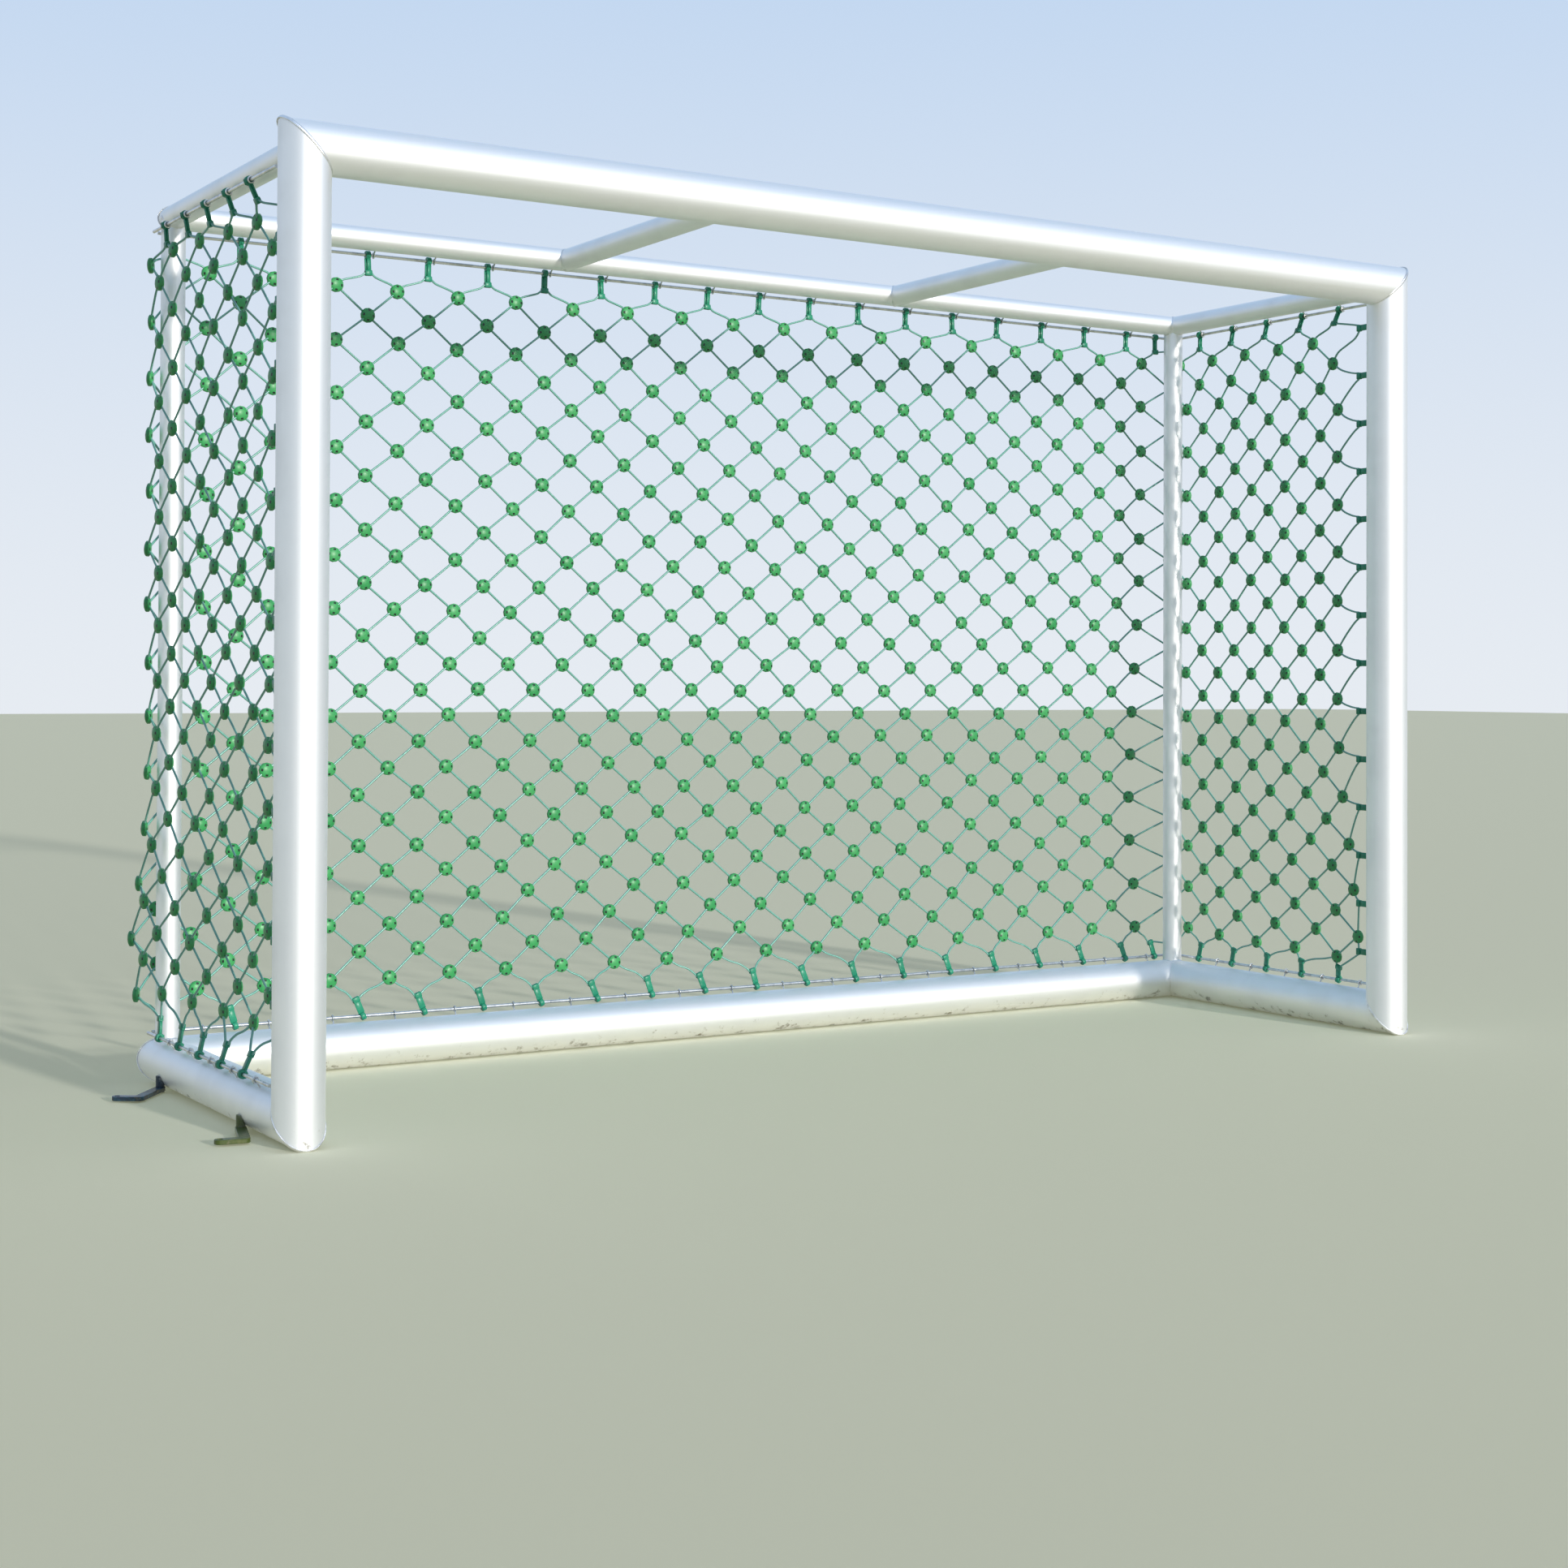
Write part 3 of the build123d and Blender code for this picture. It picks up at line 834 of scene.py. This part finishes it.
def placed(name, seats, original, made):
    """Copies of a template at seats (place, own X, own Z), each with its own tone."""
    mesh = line_mesh(
        name,
        [[place] for place, _, _ in seats],
        vectors={"mark": [x for _, x, _ in seats], "axis": [z for _, _, z in seats]},
    )
    tones = mesh.attributes.new("tone", "FLOAT", "POINT")
    tones.data.foreach_set("value", [chance.random() for _ in seats])
    return grown(name, mesh, placing_tree, {"Template": original, "Material": made})


net_hooks = placed("net_hooks", hook_seats, hook_template, hook_material)
bpy.data.objects.remove(hook_template)
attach(net_hooks, "root")
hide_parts(*[f"{rod}_hooks" for rod in rod_places])


# Net cords: braided green yarn over a steel core, stiff enough to run straight from button to
# button. Falling and rising cords cross inside the buttons, and loops join them at the edges.
cord_radius = 0.0028
cord_aside = 0.0025  # a cord's axis off the panel, so that crossing cords clear each other
cord_sides = 6
cord_steps = 4  # along the cord, from one point of its line to the next
braid_turn = 0.006  # length of yarn in one turn of the braid
yarn_groove_shade_colour = (0.095, 0.450, 0.325, 1.0)
yarn_crest_colour = (0.300, 0.780, 0.620, 1.0)
yarn_faded_colour = (0.40, 0.78, 0.64, 1.0)
cord_material, tree, shader = new_material(
    "braided_cord", Roughness=0.5, Coat_Weight=0.8, Coat_Roughness=0.3, Coat_IOR=1.8
)
around = put(tree, "ShaderNodeAttribute", attribute_name="around").outputs["Vector"]
along = put(tree, "ShaderNodeAttribute", attribute_name="along").outputs["Fac"]
apart = put(tree, "ShaderNodeSeparateXYZ", {0: around})
angle = math_of(tree, "ARCTAN2", apart.outputs["Y"], apart.outputs["X"])
travel = math_of(tree, "MULTIPLY", along, math.tau / braid_turn)
strands = []
for twist in (2.0, -2.0):
    lay = math_of(tree, "MULTIPLY_ADD", angle, twist, travel)
    strands.append(math_of(tree, "SINE", lay))
braid = math_of(tree, "MULTIPLY", strands[0], strands[1])
raised = math_of(tree, "MULTIPLY_ADD", braid, 0.5, 0.5)
place = put(tree, "ShaderNodeTexCoord").outputs["Object"]
faint = put(tree, "ShaderNodeTexNoise", {"Vector": place, "Scale": 9.0, "Detail": 2.0})
# Painted shade: the braid's grooves are painted darker and its crests lighter, by the same height
# that the bump uses.
yarn = blend_of(tree, raised, yarn_groove_shade_colour, yarn_crest_colour)
weathered = ramp_of(tree, faint.outputs[0], 0.45, 0.75, 0.0, 0.3)
faded = blend_of(tree, weathered, yarn, yarn_faded_colour)
tree.links.new(faded, shader.inputs["Base Color"])
bumped(tree, shader, raised, 0.0005, 0.7)

cord_tree, given, result = new_tree(
    "laid_cord",
    (
        ("Radius", "NodeSocketFloat", 0.002),
        ("Sides", "NodeSocketInt", 6),
        ("Smoothness", "NodeSocketInt", 4),
        ("Material", "NodeSocketMaterial", None),
    ),
)
run = put(cord_tree, "GeometryNodeMeshToCurve", {0: given["Geometry"]})
curved = put(cord_tree, "GeometryNodeCurveSplineType", {0: run.outputs[0]})
curved.spline_type = "CATMULL_ROM"
fine = put(
    cord_tree,
    "GeometryNodeSetSplineResolution",
    {0: curved.outputs[0], "Resolution": given["Smoothness"]},
)
length = put(cord_tree, "GeometryNodeSplineParameter").outputs["Length"]
measured = put(
    cord_tree,
    "GeometryNodeStoreNamedAttribute",
    {"Geometry": fine.outputs[0], "Name": "along", "Value": length},
    data_type="FLOAT",
    domain="POINT",
)
ring = put(
    cord_tree,
    "GeometryNodeCurvePrimitiveCircle",
    {"Resolution": given["Sides"], "Radius": given["Radius"]},
    mode="RADIUS",
)
spot = put(cord_tree, "GeometryNodeInputPosition").outputs[0]
section = put(
    cord_tree,
    "GeometryNodeStoreNamedAttribute",
    {"Geometry": ring.outputs[0], "Name": "around", "Value": spot},
    data_type="FLOAT_VECTOR",
    domain="POINT",
)
tube = put(
    cord_tree,
    "GeometryNodeCurveToMesh",
    {"Curve": measured.outputs[0], "Profile Curve": section.outputs[0], "Fill Caps": True},
)
ended(cord_tree, tube.outputs[0], given["Material"], result)


def diagonals(panel, last_column):
    """The lines of a panel's falling and rising cords."""
    lines = []
    for count in range(-rows, last_column + rows + 1):
        for slope in (1, -1):
            line = []
            for row in range(rows + 1):
                column = count + slope * row
                if 0 <= column <= last_column and (column, row) in panel.spots:
                    line.append(panel.spots[column, row] + panel.out * slope * cord_aside)
            if len(line) > 1:
                lines.append(line)
    return lines


for name, panel in panels.items():
    last_column = rear_columns if name == "rear" else edge
    lines = diagonals(panel, last_column) + loops[name]
    cords = grown(
        f"{name}_net_cords",
        line_mesh(f"{name}_net_lines", lines),
        cord_tree,
        {
            "Radius": cord_radius,
            "Sides": cord_sides,
            "Smoothness": cord_steps,
            "Material": cord_material,
        },
    )
    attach(cords, "root")
    replaced = [f"{name}_net_{kind}" for kind in ("falling_cords", "rising_cords", "edge_loops")]
    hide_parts(*replaced)


# Net buttons: round connectors of green plastic, moulded over each crossing in two domed halves.
# Each face has four small sunk marks in painted shade, and a fine parting line runs round the
# rim.
button_turns = 12  # faces round the button
mark_out = 0.0128  # middle of a sunk mark, from the button's axis
button_dark_colour = (0.035, 0.430, 0.115, 1.0)
button_light_colour = (0.080, 0.560, 0.165, 1.0)
button_swirl_colour = (0.22, 0.68, 0.22, 1.0)
# Near black: painted shade in the sunk marks, also used for the dark parting line.
button_mark_shade_and_parting_colour = (0.002, 0.030, 0.012, 1.0)
button_material, tree, shader = new_material(
    "button_plastic", Roughness=0.42, Coat_Weight=0.2, Coat_Roughness=0.3
)
tone = put(tree, "ShaderNodeAttribute", attribute_name="tone").outputs["Fac"]
local = put(tree, "ShaderNodeAttribute", attribute_name="local").outputs["Vector"]
apart = put(tree, "ShaderNodeSeparateXYZ", {0: local})
size_x = math_of(tree, "ABSOLUTE", apart.outputs["X"])
size_y = math_of(tree, "ABSOLUTE", apart.outputs["Y"])
far = math_of(tree, "MAXIMUM", size_x, size_y)
small = math_of(tree, "MINIMUM", size_x, size_y)
# The marks are blocks on the button's own X and Y, and the parting line is at its middle.
off = math_of(tree, "ABSOLUTE", math_of(tree, "SUBTRACT", far, mark_out))
wide = math_of(tree, "MAXIMUM", math_of(tree, "MULTIPLY", off, 1.35), small)
mark = ramp_of(tree, wide, 0.0028, 0.0036, 1.0, 0.0)
height = math_of(tree, "ABSOLUTE", apart.outputs["Z"])
parting = ramp_of(tree, height, 0.0002, 0.0007, 1.0, 0.0)
# The sunk marks take painted shade, and the parting line the same dark at 0.6.
mark_shade_and_parting = math_of(tree, "MAXIMUM", mark, math_of(tree, "MULTIPLY", parting, 0.6))
place = put(tree, "ShaderNodeTexCoord").outputs["Object"]
flow = put(tree, "ShaderNodeTexNoise", {"Vector": place, "Scale": 140.0, "Detail": 3.0})
green = blend_of(tree, tone, button_dark_colour, button_light_colour)
swirl = ramp_of(tree, flow.outputs[0], 0.5, 0.8, 0.0, 0.3)
swirled = blend_of(tree, swirl, green, button_swirl_colour)
colour = blend_of(tree, mark_shade_and_parting, swirled, button_mark_shade_and_parting_colour)
tree.links.new(colour, shader.inputs["Base Color"])
proud = math_of(tree, "SUBTRACT", 1.0, mark_shade_and_parting)
bumped(tree, shader, proud, 0.0006, 0.8)

button_profile = ((0.0100, 0.0078), (0.0158, 0.0058), (0.0187, 0.0034))
button_pole = 0.0090
bm = bmesh.new()
profile = button_profile + tuple((radius, -height) for radius, height in reversed(button_profile))
layers = []
for radius, height in profile:
    layer = []
    for n in range(button_turns):
        a = math.tau * n / button_turns
        layer.append(bm.verts.new((radius * math.cos(a), radius * math.sin(a), height)))
    layers.append(layer)
for first, second in zip(layers, layers[1:]):
    for n in range(button_turns):
        m = (n + 1) % button_turns
        bm.faces.new((first[n], second[n], second[m], first[m]))
for layer, height in ((layers[0], button_pole), (layers[-1], -button_pole)):
    pole = bm.verts.new((0, 0, height))
    for n in range(button_turns):
        bm.faces.new((pole, layer[n], layer[(n + 1) % button_turns]))
button_template = template("button", bm, button_material)
local = button_template.data.attributes.new("local", "FLOAT_VECTOR", "POINT")
spots = [part for vertex in button_template.data.vertices for part in vertex.co]
local.data.foreach_set("vector", spots)

uneven_tilt = 0.07
uneven_spin = 0.15
for name, panel in panels.items():
    seats = []
    for (column, row), spot in panel.spots.items():
        out = panel.out
        if name == "rear" and column in (0, rear_columns):
            out = Vector((0.5, 1, 0) if column else (-1, 0.4, 0)).normalized()
        elif column in (0, side_columns) and name != "rear":
            continue
        tilt = Vector([chance.uniform(-uneven_tilt, uneven_tilt) for _ in range(3)])
        spin = UP + out.cross(UP) * chance.uniform(-uneven_spin, uneven_spin)
        seats.append((spot, spin, (out + tilt).normalized()))
    buttons = placed(f"{name}_net_buttons", seats, button_template, button_material)
    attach(buttons, "root")
    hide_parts(f"{name}_net_connectors")
bpy.data.objects.remove(button_template)


# Ground anchors: flat steel arms that swing on short studs under the side tubes. The front
# pair is painted olive green and the rear pair dark blue as painted shade; both rub off in spots.
anchor_mud_height = 0.05
anchor_streaks = (120, 120, 120)
for end, paint_and_shade, worn_paint_and_shade in (
    ("front", (0.075, 0.120, 0.014, 1), (0.16, 0.19, 0.05, 1)),
    # The rear pair's dark blue is painted shade.
    ("rear", (0.008, 0.030, 0.062, 1), (0.03, 0.13, 0.19, 1)),
):
    made, tree, shader = new_material(f"{end}_anchor_paint", Coat_Weight=0.3, Coat_Roughness=0.2)
    worn = skinned(tree, anchor_streaks, 0.02)
    mud = muddied(tree, anchor_mud_height)
    painted = blend_of(tree, worn["Patch"], paint_and_shade, worn_paint_and_shade)
    colour = blend_of(tree, mud, painted, mud_colour)
    tree.links.new(colour, shader.inputs["Base Color"])
    rough = math_of(tree, "MULTIPLY_ADD", worn["Streak"], 0.3, 0.25)
    tree.links.new(rough, shader.inputs["Roughness"])
    bumped(tree, shader, worn["Streak"], 0.0002, 0.6)
    for side in ("left", "right"):
        finish_with(f"{side}_{end}_anchor", made)

stud_front_colour = (0.13, 0.17, 0.05, 1.0)
# The rear studs' dark blue is painted shade, as on the rear anchors.
stud_rear_shade_colour = (0.01, 0.04, 0.08, 1.0)
stud_bare_colour = (0.52, 0.53, 0.50, 1.0)
stud_material, tree, shader = new_material("stud_paint", Coat_Weight=0.3, Coat_Roughness=0.2)
place = put(tree, "ShaderNodeTexCoord").outputs["Object"]
worn = skinned(tree, anchor_streaks, 0.02)
apart = put(tree, "ShaderNodeSeparateXYZ", {0: place})
behind = ramp_of(tree, apart.outputs["Y"], -0.02, 0.02)
paint_and_shade = blend_of(tree, behind, stud_front_colour, stud_rear_shade_colour)
rubbed = math_of(tree, "MULTIPLY", worn["Patch"], 0.6)
colour = blend_of(tree, rubbed, paint_and_shade, stud_bare_colour)
tree.links.new(colour, shader.inputs["Base Color"])
bare = math_of(tree, "MULTIPLY", rubbed, 0.7)
tree.links.new(bare, shader.inputs["Metallic"])
rough = math_of(tree, "MULTIPLY_ADD", worn["Streak"], 0.3, 0.30)
tree.links.new(rough, shader.inputs["Roughness"])
finish_with("anchor_studs", stud_material)


# Studio: a plain pale floor under a plain pale surround, a key light low in front, a broad
# glow above it, and dim even light from all round.
floor_half = 60.0
floor_drop = 0.001  # clears the feet of the tubes
floor_lit_colour = (0.38, 0.39, 0.31, 1.0)  # for the light that it throws back
floor_shown_colour = (0.96, 0.97, 0.78, 1.0)
floor_mirrored_glow = (0.23, 0.24, 0.16, 1.0)
floor_shown_glow = (0.145, 0.155, 0.095, 1.0)
sky_fill_colour = (0.105, 0.13, 0.185, 1.0)
horizon_colour = (0.80, 0.84, 0.89, 1.0)
overhead_colour = (0.46, 0.63, 0.87, 1.0)
floor_mesh = bpy.data.meshes.new("floor")
corners = [(x * floor_half, y * floor_half, 0) for x, y in ((-1, -1), (1, -1), (1, 1), (-1, 1))]
floor_mesh.from_pydata(corners, [], [(0, 1, 2, 3)])
floor = bpy.data.objects.new("floor", floor_mesh)
floor.location.z = -floor_drop
bpy.context.scene.collection.objects.link(floor)
floor_material, tree, shader = new_material("floor", Roughness=0.9)
path = put(tree, "ShaderNodeLightPath")
straight = math_of(tree, "LESS_THAN", path.outputs["Diffuse Depth"], 0.5)
mirrored = math_of(tree, "MULTIPLY", straight, path.outputs["Is Glossy Ray"])
direct = math_of(tree, "MAXIMUM", path.outputs["Is Camera Ray"], mirrored)
ground = blend_of(tree, direct, floor_lit_colour, floor_shown_colour)
tree.links.new(ground, shader.inputs["Base Color"])
lift = blend_of(tree, path.outputs["Is Camera Ray"], floor_mirrored_glow, floor_shown_glow)
lifted = blend_of(tree, direct, (0, 0, 0, 1), lift)
tree.links.new(lifted, shader.inputs["Emission Color"])
shader.inputs["Emission Strength"].default_value = 1.0
floor_mesh.materials.append(floor_material)

key_data = bpy.data.lights.new("key", "SUN")
key_data.energy = 2.0
key_data.angle = math.radians(2.5)
key_data.color = (1.0, 0.95, 0.90)
glow_data = bpy.data.lights.new("glow", "SUN")
glow_data.energy = 0.35
glow_data.angle = math.radians(75)
glow_data.color = (1.0, 0.97, 0.97)
for data, from_light in ((key_data, (-0.143, 1.0, -0.215)), (glow_data, (-0.40, 0.90, -0.75))):
    light = bpy.data.objects.new(data.name, data)
    light.rotation_euler = Vector(from_light).to_track_quat("-Z", "Y").to_euler()
    bpy.context.scene.collection.objects.link(light)

world = bpy.data.worlds.new("surround")
world.use_nodes = True
bpy.context.scene.world = world
tree = world.node_tree
background = tree.nodes["Background"]
path = put(tree, "ShaderNodeLightPath")
shown = math_of(tree, "MAXIMUM", path.outputs["Is Camera Ray"], path.outputs["Is Glossy Ray"])
seen = math_of(tree, "MAXIMUM", shown, path.outputs["Is Transmission Ray"])
way = put(tree, "ShaderNodeTexCoord").outputs["Generated"]
apart = put(tree, "ShaderNodeSeparateXYZ", {0: way})
above = ramp_of(tree, apart.outputs["Z"], -0.05, 0.45)
air = blend_of(tree, above, horizon_colour, overhead_colour)
sky = blend_of(tree, seen, sky_fill_colour, air)
tree.links.new(sky, background.inputs["Color"])
bpy.context.scene.view_settings.view_transform = "Standard"
